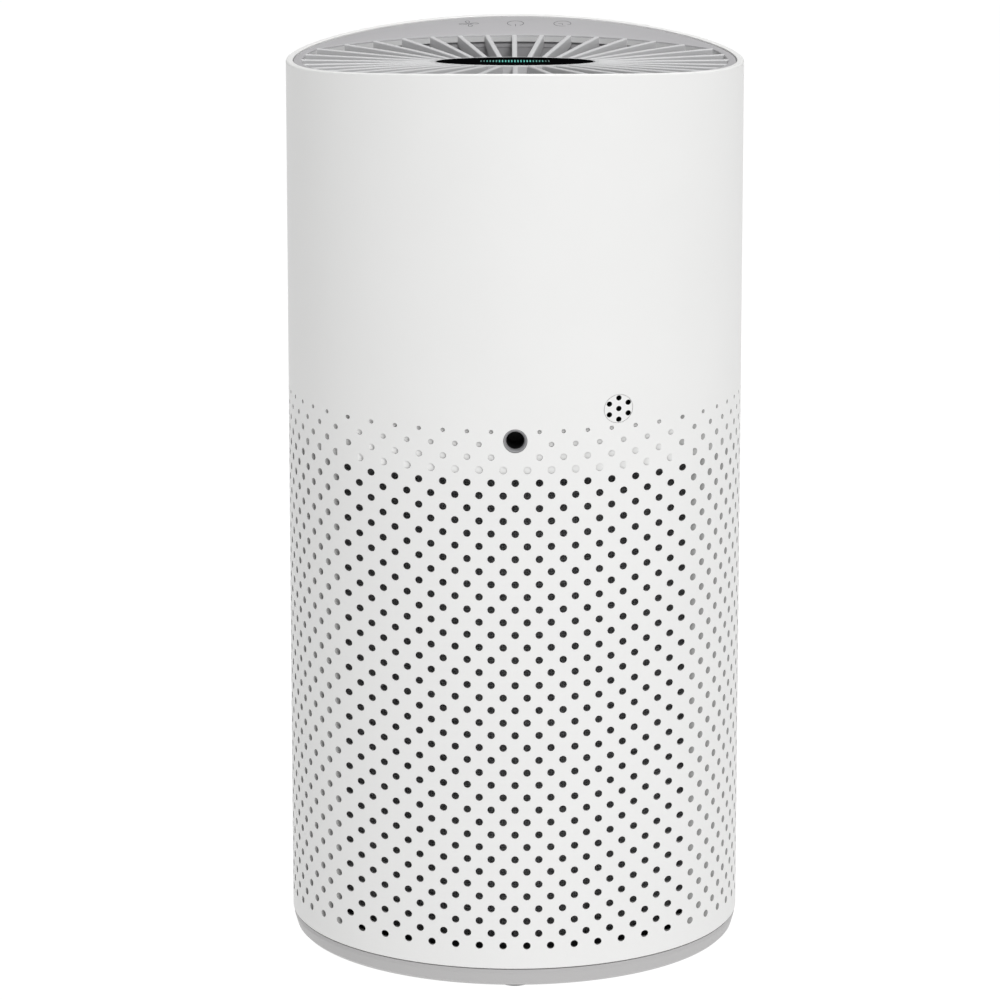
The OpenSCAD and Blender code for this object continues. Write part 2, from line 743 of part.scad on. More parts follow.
// Plug sockets, capacitors and a control chip on the main board
module board_parts() {
    color("whitesmoke") {
        translate([8, pcb_y + pcb_t, pcb_z + pcb_h - 8]) cube([8, 4, 6]);
        translate([-16, pcb_y + pcb_t, pcb_z + pcb_h - 8]) cube([8, 4, 6]);
    }
    color("black") translate([-5, pcb_y + pcb_t, pcb_z + 12]) cube([10, 1.4, 10]);
    color("slategray") for (x = [-14, 14]) translate([x, pcb_y, pcb_z + 10]) rotate([90, 0, 0])
        cylinder(r = 2.5, h = pcb_y - house_or - 0.6, $fn = 48);
}

module board_screws() {
    color("silver") {
        for (x = [-post_x, post_x], z = [pcb_z + post_in, pcb_z + pcb_h - post_in])
            translate([x, pcb_y + pcb_t, z]) rotate([-90, 0, 0]) screw(pcb_t + 5);
        for (side = [-1, 1])
            translate([side * touch_r * sin(touch_spread * 1.8), touch_r * cos(touch_spread * 1.8), touch_z])
                rotate([180, 0, 0]) screw(touch_pcb_t + 2);
        on_display() around(3, display_r - 6) translate([0, 0, -floor_top - floor_t]) rotate([180, 0, 0])
            screw(floor_t + 3.5);
    }
}

module touch_board() {
    color("darkgreen") translate([0, 0, touch_z]) difference() {
        intersection() {
            ring(touch_r + touch_half_w, touch_r - touch_half_w, 0, touch_pcb_t);
            translate([0, touch_r, 0]) cube([touch_r * 1.14, touch_r, 20], center = true);
        }
        for (side = [-1, 1])
            translate([side * touch_r * sin(touch_spread * 1.8), touch_r * cos(touch_spread * 1.8), -1])
                cylinder(r = screw_hole_r, h = touch_pcb_t + 2, $fn = 32);
    }
}

// Spring contacts that press on the underside of the ring below each touch symbol
module touch_springs() {
    color("silver") for (turn = [-touch_spread, 0, touch_spread])
        let (a = 90 + turn, reach = top_z(symbol_r - 4, a) - ring_t - touch_z - touch_pcb_t - 0.1)
            translate([symbol_r * cos(a), symbol_r * sin(a), 0])
                ring(3.6, 2.8, touch_z + touch_pcb_t, reach);
}

// Lead from the main board's plug socket straight up to the touch board
module touch_lead() {
    y = pcb_y + pcb_t + 2;
    color("black") translate([12, y, pcb_z + pcb_h - 2]) cylinder(r = 1.3, h = touch_z - pcb_z - pcb_h + 2, $fn = 32);
}

outer_shell();
base_cover();
rubber_feet();
control_ring();
outlet_fins();
outlet_hub();
outlet_ledge();
display_lens();
light_baffle();
status_leds();
display_board();
jack_bezel();
dc_jack();
sensor_insert();
sensor_module();
pleated_media();
mesh_sleeve();
carbon_core();
filter_top_cap();
filter_bottom_cap();
filter_seal();
pull_tab();
fan_deck();
inlet_guard();
fan_housing();
diffuser_liner();
diffuser_vanes();
motor_cup();
outlet_duct();
tail_cone();
impeller_plate();
impeller_blades();
impeller_shroud();
rotor_can();
rotor_magnet();
motor_shaft();
retaining_ring();
lower_bearing();
upper_bearing();
motor_stator();
motor_base();
isolator_bushes();
motor_screws();
deck_screws();
flange_screws();
main_board();
board_parts();
board_screws();
touch_board();
touch_springs();
touch_lead();
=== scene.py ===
"""Looks of a small round air purifier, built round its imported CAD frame.

Metres, +Z up, origin under the centre of the base. +Y is the user side with the touch symbols,
-Y is the rear with the power socket.
"""
import math

import bmesh
import bpy
from mathutils import Matrix, Vector


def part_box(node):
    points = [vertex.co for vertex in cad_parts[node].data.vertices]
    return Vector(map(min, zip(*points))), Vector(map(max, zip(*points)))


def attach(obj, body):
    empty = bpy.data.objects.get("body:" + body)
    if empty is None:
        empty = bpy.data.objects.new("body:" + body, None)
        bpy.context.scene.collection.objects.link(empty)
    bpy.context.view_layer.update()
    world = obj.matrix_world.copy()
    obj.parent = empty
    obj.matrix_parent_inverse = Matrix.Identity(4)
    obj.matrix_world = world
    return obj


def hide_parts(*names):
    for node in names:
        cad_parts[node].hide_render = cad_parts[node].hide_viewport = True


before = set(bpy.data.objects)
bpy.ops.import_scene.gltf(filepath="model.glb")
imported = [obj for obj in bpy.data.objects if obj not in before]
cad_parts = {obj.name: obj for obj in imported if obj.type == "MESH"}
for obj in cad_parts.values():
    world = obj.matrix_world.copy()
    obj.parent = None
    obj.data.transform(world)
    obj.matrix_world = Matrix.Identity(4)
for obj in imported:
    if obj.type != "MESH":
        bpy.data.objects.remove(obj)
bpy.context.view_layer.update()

MM = 0.001
scene = bpy.context.scene

# ---------------------------------------------------------------- sizes, from the frame

shell_lo, shell_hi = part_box("outer_shell")
bezel_lo, bezel_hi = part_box("jack_bezel")
sensor_lo, sensor_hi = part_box("sensor_insert")

BODY_R = shell_hi.x
WALL = 2.5 * MM
BORE_R = BODY_R - WALL
RING_R = BORE_R - 0.25 * MM
DIP_R = 580 * MM
DIP_Y = 8 * MM
RIM_SIDE_Z = shell_hi.z - (BODY_R + DIP_Y) ** 2 / (2 * DIP_R)
RIM_PROUD = 0.4 * MM
RING_T = 2.4 * MM
SLOT_USER_R = BORE_R - 22.2 * MM
SLOT_REAR_R = BORE_R - 3.2 * MM
ARC_OFFSET = 40 * MM
ARC_R = SLOT_USER_R + ARC_OFFSET
DISPLAY_R = 28 * MM
DISPLAY_Z = RIM_SIDE_Z - 1 * MM
TILT = math.radians(5.6)
HUB_BORE = DISPLAY_R + 0.25 * MM
HUB_R = HUB_BORE + 1.9 * MM
FIN_COUNT = 36
FIN_T = 1.9 * MM
JACK_Z = (bezel_lo.z + bezel_hi.z) / 2
BEZEL_R = (bezel_hi.x - bezel_lo.x) / 2
SENSOR_X = (sensor_lo.x + sensor_hi.x) / 2
SENSOR_Z = (sensor_lo.z + sensor_hi.z) / 2
SENSOR_R = (sensor_hi.z - sensor_lo.z) / 2


def rim_z(y):
    """Height of the shell's dipped rim above the line y."""
    return RIM_SIDE_Z + (y - DIP_Y) ** 2 / (2 * DIP_R)


def plane_z(y):
    """Height of the display's tilted plane above the line y."""
    return DISPLAY_Z - math.tan(TILT) * y


def top_z(r, a):
    """Height of the outlet's top surface, straight from the hub out to the rim."""
    inner = plane_z(HUB_R * math.sin(a))
    outer = rim_z(RING_R * math.sin(a)) - RIM_PROUD
    return inner + (r - HUB_R) / (RING_R - HUB_R) * (outer - inner)


def slot_r(a):
    """Radius where the outlet's slots end."""
    flat = -ARC_OFFSET * math.sin(a) + math.sqrt(ARC_R ** 2 - (ARC_OFFSET * math.cos(a)) ** 2)
    return min(SLOT_REAR_R, flat)


# ---------------------------------------------------------------- camera


def add_camera():
    """A long lens well behind the purifier, looking down at it from the rear."""
    data = bpy.data.cameras.new("camera")
    data.lens = 191.63
    data.sensor_width = 36
    data.clip_end = 50
    camera = bpy.data.objects.new("camera", data)
    camera.location = (-0.00525, -1.86142, 0.59735)
    camera.rotation_euler = (math.radians(90 - 13.247), 0, 0)
    scene.collection.objects.link(camera)
    scene.camera = camera


add_camera()

# ---------------------------------------------------------------- material helpers


def colour(hex_code):
    """An sRGB hex colour as linear RGBA."""
    parts = [int(hex_code[i:i + 2], 16) / 255 for i in (1, 3, 5)]
    return [c / 12.92 if c <= 0.04045 else ((c + 0.055) / 1.055) ** 2.4 for c in parts] + [1]


def add_node(tree, kind, links=None, **settings):
    """Adds a node. Settings name its properties or, where it has none so named, its input sockets."""
    node = tree.nodes.new(kind)
    for key, value in settings.items():
        if hasattr(node, key):
            setattr(node, key, value)
        else:
            node.inputs[key.replace("_", " ")].default_value = value
    for socket, source in (links or {}).items():
        tree.links.new(source, node.inputs[socket])
    return node


def start_material(name, **shader):
    """A material with one Principled shader: the material, its tree, the shader and the Object coordinates."""
    material = bpy.data.materials.new(name)
    material.use_nodes = True
    tree = material.node_tree
    tree.nodes.clear()
    surface = add_node(tree, "ShaderNodeBsdfPrincipled")
    for key, value in shader.items():
        surface.inputs[key.replace("_", " ")].default_value = value
    add_node(tree, "ShaderNodeOutputMaterial", {"Surface": surface.outputs["BSDF"]})
    place = add_node(tree, "ShaderNodeTexCoord").outputs["Object"]
    return material, tree, surface, place


def moulded_plastic(name, hex_light, hex_dark, roughness, grain_mm, grain_depth_mm, ior=1.53, mottle_mm=35):
    """Injection-moulded plastic: an even colour that drifts a little, over a fine spark-eroded grain."""
    material, tree, surface, place = start_material(name, IOR=ior)
    drift = add_node(tree, "ShaderNodeTexNoise", {"Vector": place}, Scale=1 / (mottle_mm * MM), Detail=3)
    tint = add_node(tree, "ShaderNodeMix", {"Factor": drift.outputs["Fac"]}, data_type="RGBA")
    tint.inputs[6].default_value = colour(hex_dark)
    tint.inputs[7].default_value = colour(hex_light)
    tree.links.new(tint.outputs[2], surface.inputs["Base Color"])
    grain = add_node(tree, "ShaderNodeTexNoise", {"Vector": place}, Scale=1 / (grain_mm * MM), Detail=2)
    gloss = add_node(tree, "ShaderNodeMapRange", {"Value": grain.outputs["Fac"]})
    gloss.inputs["To Min"].default_value = roughness - 0.05
    gloss.inputs["To Max"].default_value = roughness + 0.05
    tree.links.new(gloss.outputs["Result"], surface.inputs["Roughness"])
    bump = add_node(tree, "ShaderNodeBump", {"Height": grain.outputs["Fac"]}, Strength=0.35,
                    Distance=grain_depth_mm * MM)
    tree.links.new(bump.outputs["Normal"], surface.inputs["Normal"])
    return material


def plated_metal(name, hex_code, roughness, line_mm, metallic=1.0):
    """Plated or turned metal: fine turning lines that stretch round the axis."""
    material, tree, surface, place = start_material(name, Metallic=metallic, Base_Color=colour(hex_code))
    stretch = add_node(tree, "ShaderNodeMapping", {"Vector": place})
    stretch.inputs["Scale"].default_value = (0.15, 0.15, 1)
    lines = add_node(tree, "ShaderNodeTexNoise", {"Vector": stretch.outputs["Vector"]},
                     Scale=1 / (line_mm * MM), Detail=2)
    gloss = add_node(tree, "ShaderNodeMapRange", {"Value": lines.outputs["Fac"]})
    gloss.inputs["To Min"].default_value = roughness - 0.08
    gloss.inputs["To Max"].default_value = roughness + 0.1
    tree.links.new(gloss.outputs["Result"], surface.inputs["Roughness"])
    return material


# ---------------------------------------------------------------- materials

# Satin white ABS: soft broad highlight, a grain too fine to see from a metre away
white_abs = moulded_plastic("white_ABS_moulded_satin", "#f1f1f0", "#ededec", 0.42, 0.35, 0.004)
# The same plastic where a pin shaped it and left it rough: inside the holes, painted darker than the shell as
# painted shade on the hole and dimple walls
painted_hole_shade_abs = moulded_plastic("white_ABS_rough_painted_hole_shade", "#b6b6b5", "#acacab", 0.7, 0.3, 0.01)
# Grey ABS of the control ring and the base: duller, with the same grain
ring_abs = moulded_plastic("grey_ABS_moulded_satin", "#b3b2b4", "#aeadaf", 0.46, 0.35, 0.006)
base_abs = moulded_plastic("base_grey_ABS_moulded_satin", "#bcbbbb", "#b7b6b6", 0.48, 0.35, 0.006)
# The fins are a light grey, and shine a little more
fin_abs = moulded_plastic("light_grey_ABS_moulded_fins", "#cdcdce", "#c8c8c9", 0.42, 0.35, 0.005)
# The lip round the slots is the lightest of the greys: the fins' plastic, painted lighter as painted light on
# the slots' end wall
painted_light_lip_abs = moulded_plastic("light_grey_ABS_painted_light_lip", "#ebebeb", "#e7e7e7", 0.42, 0.35, 0.005)
# Polypropylene of the hidden ducts: darker, with a waxy sheen
duct_pp = moulded_plastic("grey_PP_moulded_duct", "#b4b3b5", "#aeadaf", 0.5, 0.6, 0.01)
# The filter's caps, in a darker polypropylene
filter_pp = moulded_plastic("dark_PP_moulded_cap", "#5a5a5c", "#545456", 0.52, 0.6, 0.01)
# Glass-filled nylon of the impeller: near black and slightly mottled
fan_nylon = moulded_plastic("glass_filled_nylon_moulded", "#2c2c2e", "#232325", 0.5, 0.8, 0.02, mottle_mm=6)
# The socket ring and the socket behind it
socket_abs = moulded_plastic("socket_ABS_moulded_grey", "#a2a2a4", "#9c9c9e", 0.4, 0.4, 0.005)
socket_nylon = moulded_plastic("black_nylon_moulded", "#111112", "#0d0d0e", 0.55, 0.4, 0.005)
# Silicone rubber of the feet and bushes: matt and dusty
foot_rubber = moulded_plastic("silicone_rubber_moulded", "#2b2b2c", "#242425", 0.82, 0.5, 0.02, ior=1.45,
                              mottle_mm=4)
# EVA foam of the filter's seal: matt and finely pitted
seal_foam = moulded_plastic("EVA_foam_closed_cell", "#323234", "#28282a", 0.9, 0.45, 0.12, ior=1.45,
                            mottle_mm=3)
# Polycarbonate round the status lights: white, so that it throws their light forward
lamp_white = moulded_plastic("white_PC_moulded_reflector", "#f4f4f2", "#f0f0ee", 0.5, 0.5, 0.004)
# Screws and shaft: bright zinc over turned steel
steel_zinc = plated_metal("steel_zinc_plated", "#b9bbbe", 0.32, 0.12)
# The rotor can: drawn steel, nickel plated, with faint rings
steel_can = plated_metal("steel_drawn_nickel_plated", "#a9abae", 0.28, 0.2)
# Cast aluminium of the motor base: coarser and duller
alloy_cast = plated_metal("aluminium_die_cast", "#b4b5b6", 0.5, 0.6)
# Bonded ferrite: dark grey, hardly metallic
magnet_ferrite = plated_metal("ferrite_magnet_bonded", "#3a3a3c", 0.62, 0.5, metallic=0.4)
# Pad-printed ink of the touch symbols
symbol_ink = moulded_plastic("grey_ink_pad_printed", "#6c6c6f", "#67676a", 0.5, 0.3, 0.002)
# PVC skin of the lead, with a slight shine
lead_pvc = moulded_plastic("black_PVC_extruded", "#161617", "#121213", 0.4, 0.5, 0.004)
# Moulded epoxy of the board components
part_epoxy = moulded_plastic("component_epoxy_moulded", "#4d4d50", "#3f3f42", 0.5, 0.5, 0.006, mottle_mm=3)


def polished_window():
    """Cast acrylic, back-painted black: a polished face whose coating kills the glare at low angles."""
    material, tree, surface, place = start_material("acrylic_polished_black", IOR=1.49, Roughness=0.06,
                                                    Base_Color=colour("#060607"))
    waves = add_node(tree, "ShaderNodeTexNoise", {"Vector": place}, Scale=1 / (14 * MM), Detail=1)
    bump = add_node(tree, "ShaderNodeBump", {"Height": waves.outputs["Fac"]}, Strength=0.1,
                    Distance=0.02 * MM)
    tree.links.new(bump.outputs["Normal"], surface.inputs["Normal"])
    matt = add_node(tree, "ShaderNodeBsdfDiffuse", Color=colour("#060607"))
    slant = add_node(tree, "ShaderNodeLayerWeight", Blend=0.5)
    glare = add_node(tree, "ShaderNodeMapRange", {"Value": slant.outputs["Facing"]},
                     interpolation_type="SMOOTHSTEP")
    glare.inputs["From Min"].default_value = 0.55
    glare.inputs["From Max"].default_value = 0.85
    coated = add_node(tree, "ShaderNodeMixShader", {0: glare.outputs["Result"], 1: surface.outputs["BSDF"],
                                                    2: matt.outputs["BSDF"]})
    output = next(n for n in tree.nodes if n.bl_idname == "ShaderNodeOutputMaterial")
    tree.links.new(coated.outputs[0], output.inputs["Surface"])
    return material


def lit_teal(name, strength):
    """A printed light bar lit from behind by a teal LED, a little uneven, as the diffuser spreads it."""
    material, tree, surface, place = start_material(name, Base_Color=colour("#0c3b38"), Roughness=0.35)
    surface.inputs["Emission Strength"].default_value = strength
    glow = add_node(tree, "ShaderNodeTexNoise", {"Vector": place}, Scale=1 / (3 * MM), Detail=1)
    tint = add_node(tree, "ShaderNodeMix", {"Factor": glow.outputs["Fac"]}, data_type="RGBA")
    tint.inputs[6].default_value = colour("#2fae9f")
    tint.inputs[7].default_value = colour("#3fc4b2")
    tree.links.new(tint.outputs[2], surface.inputs["Emission Color"])
    return material


SLEEVE_R_MM = 66


def woven_mesh(name, hex_thread, hex_gap, thread_mm):
    """Plain-woven nylon mesh: crossing threads with dark gaps between them."""
    material, tree, surface, place = start_material(name, Roughness=0.75, IOR=1.53)
    parts = add_node(tree, "ShaderNodeSeparateXYZ", {"Vector": place})
    turn = add_node(tree, "ShaderNodeMath", {0: parts.outputs["Y"], 1: parts.outputs["X"]},
                    operation="ARCTAN2")
    around = add_node(tree, "ShaderNodeMath", {0: turn.outputs[0]}, operation="MULTIPLY")
    around.inputs[1].default_value = SLEEVE_R_MM / thread_mm * math.pi
    upward = add_node(tree, "ShaderNodeMath", {0: parts.outputs["Z"]}, operation="MULTIPLY")
    upward.inputs[1].default_value = math.pi / (thread_mm * MM)
    waves = []
    for source in (around, upward):
        wave = add_node(tree, "ShaderNodeMath", {0: source.outputs[0]}, operation="SINE")
        waves.append(add_node(tree, "ShaderNodeMath", {0: wave.outputs[0]}, operation="ABSOLUTE"))
    thread = add_node(tree, "ShaderNodeMath", {0: waves[0].outputs[0], 1: waves[1].outputs[0]},
                      operation="MULTIPLY")
    tint = add_node(tree, "ShaderNodeMix", {"Factor": thread.outputs[0]}, data_type="RGBA")
    tint.inputs[6].default_value = colour(hex_thread)
    tint.inputs[7].default_value = colour(hex_gap)
    tree.links.new(tint.outputs[2], surface.inputs["Base Color"])
    bump = add_node(tree, "ShaderNodeBump", {"Height": thread.outputs[0]}, Strength=0.8, Distance=0.15 * MM,
                    invert=True)
    tree.links.new(bump.outputs["Normal"], surface.inputs["Normal"])
    return material


def fibrous(name, hex_light, hex_dark, fibre_mm, depth_mm):
    """Felted fibres or granules: speckled colour and a rough, matt face."""
    material, tree, surface, place = start_material(name, Roughness=0.95, IOR=1.45)
    fibre = add_node(tree, "ShaderNodeTexNoise", {"Vector": place}, Scale=1 / (fibre_mm * MM), Detail=6,
                     Roughness=0.7)
    tint = add_node(tree, "ShaderNodeMix", {"Factor": fibre.outputs["Fac"]}, data_type="RGBA")
    tint.inputs[6].default_value = colour(hex_dark)
    tint.inputs[7].default_value = colour(hex_light)
    tree.links.new(tint.outputs[2], surface.inputs["Base Color"])
    bump = add_node(tree, "ShaderNodeBump", {"Height": fibre.outputs["Fac"]}, Strength=0.6,
                    Distance=depth_mm * MM)
    tree.links.new(bump.outputs["Normal"], surface.inputs["Normal"])
    return material


window_pmma = polished_window()
teal_bright = lit_teal("teal_LED_bar_bright", 0.85)
teal_mid = lit_teal("teal_LED_bar_mid", 0.45)
teal_dim = lit_teal("teal_LED_bar_dim", 0.12)
sleeve_nylon = woven_mesh("nylon_mesh_woven_grey", "#c4c4c6", "#8c8c8e", 0.9)
tab_webbing = woven_mesh("polyester_webbing_woven", "#3f4042", "#1c1c1e", 1.1)
paper_hepa = fibrous("glass_fibre_paper_pleated", "#e9e8e2", "#d8d6ce", 0.5, 0.03)
carbon_foam = fibrous("activated_carbon_granules_bonded", "#2a2a2b", "#080808", 1.2, 0.4)
board_mask = moulded_plastic("glass_epoxy_solder_mask", "#1c6b3a", "#165c31", 0.3, 0.8, 0.004, mottle_mm=5)
copper_wound = plated_metal("copper_wire_enamelled", "#b06a3a", 0.35, 0.3)

# ---------------------------------------------------------------- mesh helpers


def make_piece(bm, name, material, body="housing", replaces=(), smooth_deg=35):
    """Turns a finished bmesh into a piece of the object that rides on a CAD body."""
    mesh = bpy.data.meshes.new(name)
    bm.to_mesh(mesh)
    bm.free()
    piece = bpy.data.objects.new(name, mesh)
    scene.collection.objects.link(piece)
    mesh.materials.append(material)
    if smooth_deg:
        mesh.shade_smooth()
        mesh.set_sharp_from_angle(angle=math.radians(smooth_deg))
    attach(piece, body)
    if replaces:
        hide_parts(*replaces)
    return piece


def tidy(bm, merge=0.0005 * MM):
    """Merges doubles and turns every face outwards."""
    bmesh.ops.remove_doubles(bm, verts=bm.verts, dist=merge)
    bmesh.ops.recalc_face_normals(bm, faces=bm.faces)
    return bm


def spin(bm, outline, steps=180):
    """Spins a closed outline of (radius, height) points round the body's axis."""
    verts = [bm.verts.new((r, 0, z)) for r, z in outline]
    edges = [bm.edges.new((a, b)) for a, b in zip(verts, verts[1:] + verts[:1])]
    made = bmesh.ops.spin(bm, geom=verts + edges, cent=(0, 0, 0), axis=(0, 0, 1), angle=2 * math.pi,
                          steps=steps, use_merge=True)
    return made


def arc(centre_r, centre_z, radius, start_deg, end_deg, count=4):
    """Points of a round corner in the (radius, height) plane."""
    turns = [math.radians(start_deg + (end_deg - start_deg) * i / count) for i in range(count + 1)]
    return [(centre_r + radius * math.cos(t), centre_z + radius * math.sin(t)) for t in turns]


def swept_ring(section, place, steps=180):
    """A closed section swept round the axis; place(point, angle) gives each point its position there."""
    bm = bmesh.new()
    spin(bm, [(1, i) for i in range(len(section))], steps)
    for v in bm.verts:
        v.co = place(section[round(v.co.z)], math.atan2(v.co.y, v.co.x))
    return tidy(bm)


# ---------------------------------------------------------------- the drilled shell

HOLE_ROWS = 42
ROW_STEP = 4.5 * MM
TOP_ROW_Z = JACK_Z + 3.2 * MM
HOLE_R = 1.34 * MM
DIMPLE_R = [0.75 * MM, 0.95 * MM, 1.15 * MM, HOLE_R]
DIMPLE_DEPTH = [1.1 * MM, 0.9 * MM, 0.7 * MM, 0.55 * MM]
DRAFT = 0.22
DRAFT_MAX = 0.7 * MM
CUT_OUTSIDE = 1.2 * MM
CUT_INSIDE = 0.8 * MM
HOLE_SIDES = 14
FACE_STEP = 4.15 * MM
FACE_COLUMNS = 14
SIDE_STEP = 4.083 * MM
SIDE_COLUMNS = 26
# (column, row) of the dimples left out where the socket is
BESIDE_SOCKET = {(0, 0), (1, 1), (-1, 1), (0, 2)}
RIM_ROUND = 0.8 * MM
RIM_INNER_ROUND = 0.3 * MM
FOOT_CHAMFER = 0.3 * MM
SEAT_GAP = 0.12 * MM
SKIN_TOLERANCE = 0.03 * MM


def drill(bm, across, z, along_x, sign, radius, depth):
    """One cutter, straight along Y or X: a blind dimple, or a hole that widens towards the inside."""
    outside = math.sqrt(BODY_R ** 2 - across ** 2)
    start = outside + CUT_OUTSIDE
    outer = inner = radius
    if depth:
        end = outside - depth
    else:
        end = math.sqrt(BORE_R ** 2 - (abs(across) + radius) ** 2) - CUT_INSIDE
        outer = radius - DRAFT * (start - outside)
        inner = radius + min(DRAFT * (outside - end), DRAFT_MAX)
    middle = sign * (start + end) / 2
    quarter = sign * math.pi / 2
    turn = Matrix.Rotation(quarter, 4, "Y") if along_x else Matrix.Rotation(-quarter, 4, "X")
    where = Vector((middle, across, z)) if along_x else Vector((across, middle, z))
    bmesh.ops.create_cone(bm, cap_ends=True, cap_tris=False, segments=HOLE_SIDES, radius1=inner, radius2=outer,
                          depth=start - end, matrix=Matrix.Translation(where) @ turn)


def column_of_holes(across, along_x, sign, parity, skip=()):
    """One column, as a mesh of its own: every second row, with the top ones blind and fading out."""
    bm = bmesh.new()
    for row in range(HOLE_ROWS):
        if row % 2 == parity and row not in skip:
            blind = row < len(DIMPLE_R)
            radius, depth = (DIMPLE_R[row], DIMPLE_DEPTH[row]) if blind else (HOLE_R, None)
            drill(bm, across, TOP_ROW_Z - row * ROW_STEP, along_x, sign, radius, depth)
    column = bpy.data.meshes.new("column")
    bm.to_mesh(column)
    bm.free()
    return column


def shell_cutters():
    """All air holes, the fading rows of blind dimples above them, and the two openings at the rear."""
    columns = []
    for k in range(-FACE_COLUMNS, FACE_COLUMNS + 1):
        beside = [row for column, row in BESIDE_SOCKET if column == k]
        columns.append(column_of_holes(k * FACE_STEP, False, -1, k % 2, beside))
        columns.append(column_of_holes(k * FACE_STEP, False, 1, (k + 1) % 2))
    for i in range(SIDE_COLUMNS):
        y = (i - (SIDE_COLUMNS - 1) / 2) * SIDE_STEP
        columns += [column_of_holes(y, True, sign, (i + 1) % 2) for sign in (-1, 1)]
    bm = bmesh.new()
    for column in columns:
        bm.from_mesh(column)
        bpy.data.meshes.remove(column)
    turn = Matrix.Rotation(math.pi / 2, 4, "X")
    for x, z, radius in ((0, JACK_Z, BEZEL_R + SEAT_GAP), (SENSOR_X, SENSOR_Z, SENSOR_R + SEAT_GAP)):
        bmesh.ops.create_cone(bm, cap_ends=True, segments=64, radius1=radius, radius2=radius, depth=40 * MM,
                              matrix=Matrix.Translation((x, -BODY_R, z)) @ turn)
    return bm


def shell_normal(corner, face):
    """The true normal of the plain wall: radial on its two sides and rounded over the rim."""
    radius = math.hypot(corner.x, corner.y)
    outward = Vector((corner.x, corner.y, 0)) / radius
    lean = outward.dot(face.normal)
    rim = rim_z(corner.y)
    if corner.z > rim - RIM_ROUND * 1.05 and face.center.z > rim - RIM_ROUND * 1.2:
        crest = Vector((0, (DIP_Y - corner.y) / DIP_R, 1)).normalized()
        side = 0
        if radius > BODY_R - RIM_ROUND:
            side = (radius - BODY_R + RIM_ROUND) / RIM_ROUND
        elif radius < BORE_R + RIM_INNER_ROUND:
            side = (radius - BORE_R - RIM_INNER_ROUND) / RIM_INNER_ROUND
        side = max(-1, min(1, side))
        return outward * side + crest * math.sqrt(1 - side * side)
    if lean > 0.97 and radius > BODY_R - SKIN_TOLERANCE:
        return outward
    if lean < -0.97 and radius < BORE_R + SKIN_TOLERANCE:
        return -outward
    return face.normal


def cut_mesh(name, blank, tool, operation="DIFFERENCE"):
    """The mesh left when `tool` is cut from `blank`, or of what they share; both bmeshes are used up."""
    blocks = []
    for bm in (blank, tool):
        mesh = bpy.data.meshes.new(name)
        bm.to_mesh(mesh)
        bm.free()
        block = bpy.data.objects.new(name, mesh)
        scene.collection.objects.link(block)
        blocks.append(block)
    cut = blocks[0].modifiers.new("cut", "BOOLEAN")
    cut.operation = operation
    cut.solver = "MANIFOLD"
    cut.object = blocks[1]
    bpy.context.view_layer.update()
    mesh = bpy.data.meshes.new_from_object(blocks[0].evaluated_get(bpy.context.evaluated_depsgraph_get()))
    for block in blocks:
        bpy.data.objects.remove(block)
    return mesh


def make_wall_piece(mesh, name, node):
    """A piece cut from the shell's wall, with the wall's true normals set on its faces and painted shade on
    its hole walls.
    """
    mesh.shade_smooth()
    normals = [None] * len(mesh.loops)
    drilled = []
    for face in mesh.polygons:
        for i in face.loop_indices:
            normals[i] = shell_normal(mesh.vertices[mesh.loops[i].vertex_index].co, face)
        # walls of the holes and dimples in the rows take the darker second material: painted shade
        outward = Vector((face.center.x, face.center.y, 0)).normalized()
        in_rows = shell_lo.z + 3 * MM < face.center.z < sensor_hi.z
        drilled.append(1 if in_rows and abs(outward.dot(face.normal)) < 0.7 else 0)
    mesh.normals_split_custom_set(normals)
    mesh.materials.clear()
    mesh.materials.append(white_abs)
    mesh.materials.append(painted_hole_shade_abs)
    mesh.polygons.foreach_set("material_index", drilled)
    piece = bpy.data.objects.new(name, mesh)
    scene.collection.objects.link(piece)
    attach(piece, "housing")
    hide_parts(node)


def build_shell():
    """The white shell: a spun wall with a dipped, rounded rim, drilled with every air hole."""
    bm = bmesh.new()
    foot = shell_lo.z
    outline = [(BORE_R, foot), (BODY_R - FOOT_CHAMFER, foot), (BODY_R, foot + FOOT_CHAMFER)]
    outline += arc(BODY_R - RIM_ROUND, RIM_SIDE_Z - RIM_ROUND, RIM_ROUND, 0, 90, 5)
    outline += arc(BORE_R + RIM_INNER_ROUND, RIM_SIDE_Z - RIM_INNER_ROUND, RIM_INNER_ROUND, 90, 180, 3)
    spin(bm, outline, 240)
    for v in bm.verts:
        if v.co.z > RIM_SIDE_Z - 2 * MM:
            v.co.z += rim_z(v.co.y) - RIM_SIDE_Z
    tidy(bm)
    make_wall_piece(cut_mesh("perforated_shell", bm, shell_cutters()), "perforated_shell", "outer_shell")


build_shell()

# ---------------------------------------------------------------- sensor insert and socket ring

SENSOR_HOLE_R = 0.92 * MM
SENSOR_HOLE_RING = 0.766 * SENSOR_R
SOCKET_BORE_R = 3.15 * MM


